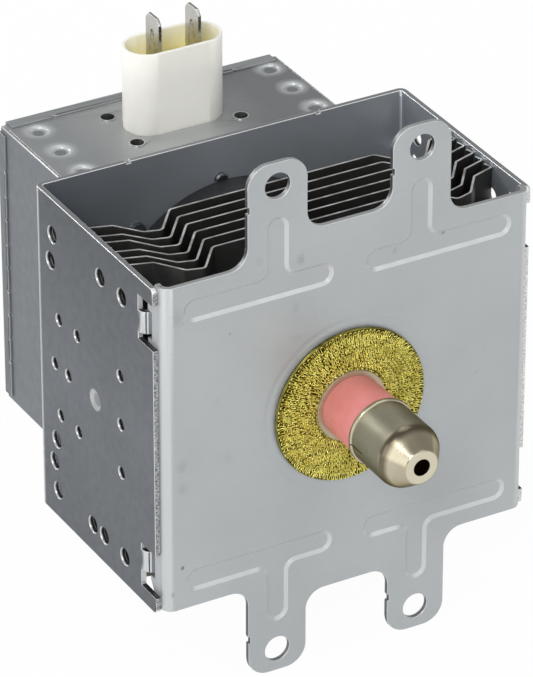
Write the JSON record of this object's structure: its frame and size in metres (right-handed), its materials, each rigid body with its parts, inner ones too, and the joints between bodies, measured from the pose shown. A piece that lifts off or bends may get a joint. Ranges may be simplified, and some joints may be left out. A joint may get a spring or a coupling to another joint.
{
  "type": "magnetron",
  "caption": "Magnetron tube held in a folded steel yoke, with folded cooling fins, a ceramic antenna with a brass mesh gasket, and a rear filter box with a tab socket.",
  "frame": {"origin": "on the antenna axis, in the front face of the mounting plate, at the middle of the four ear holes", "axes": "-Y along the antenna, out of the mounting face; +Z towards the terminals; +X to the right seen from the antenna side"},
  "size_m": [0.095, 0.1286, 0.1296],
  "materials": {
    "zinc_steel": "zinc plated sheet, dull",
    "white_plastic": "ivory moulding, semi-matt",
    "yellow_epoxy": "clear yellow casting",
    "tinned_tab": "tinned, bright",
    "tinned_plate": "tinned",
    "white_ceramic": "fired, matt",
    "ferrite": "dark sintered ferrite",
    "brass_mesh": "knitted wire, bright",
    "nickel_alloy": "plated, satin",
    "pink_ceramic": "fired, satin",
    "nickel_cap": "nickel plated, drawn",
    "copper": "oxygen-free copper, bright",
    "copper_wire": "enamelled wire",
    "pole_steel": "pressed mild steel",
    "tungsten": "dark drawn wire",
    "molybdenum": "machined",
    "aluminium_fin": "mill finish sheet"
  },
  "bodies": {
    "root": {"yoke_channel": "zinc_steel", "mounting_plate": "zinc_steel", "filter_box": "zinc_steel", "filter_box_cover": "zinc_steel", "connector_body": "white_plastic", "connector_potting": "yellow_epoxy", "terminal_left": "tinned_tab", "terminal_right": "tinned_tab", "capacitor_flange": "tinned_plate", "capacitor_case": "white_plastic", "capacitor_ceramic": "white_ceramic", "fin_1": "aluminium_fin", "fin_2": "aluminium_fin", "fin_3": "aluminium_fin", "fin_4": "aluminium_fin", "fin_5": "aluminium_fin", "fin_6": "aluminium_fin", "front_magnet": "ferrite", "rear_magnet": "ferrite", "gasket_mesh": "brass_mesh", "output_sleeve": "nickel_alloy", "antenna_ceramic": "pink_ceramic", "antenna_cap": "nickel_cap", "seal_cup": "nickel_alloy", "exhaust_tube": "copper", "antenna_lead": "copper", "anode_cylinder": "copper", "vane_1": "copper", "vane_2": "copper", "vane_3": "copper", "vane_4": "copper", "vane_5": "copper", "vane_6": "copper", "vane_7": "copper", "vane_8": "copper", "vane_9": "copper", "vane_10": "copper", "strap_front_inner": "copper", "strap_front_outer": "copper", "strap_rear_inner": "copper", "strap_rear_outer": "copper", "front_pole_piece": "pole_steel", "rear_pole_piece": "pole_steel", "filament": "tungsten", "front_end_hat": "molybdenum", "rear_end_hat": "molybdenum", "centre_lead": "molybdenum", "side_lead": "molybdenum", "input_sleeve": "nickel_alloy", "stem_ceramic": "white_ceramic", "choke_left": "copper_wire", "choke_right": "copper_wire", "core_left": "ferrite", "core_right": "ferrite"}
  },
  "joints": []
}
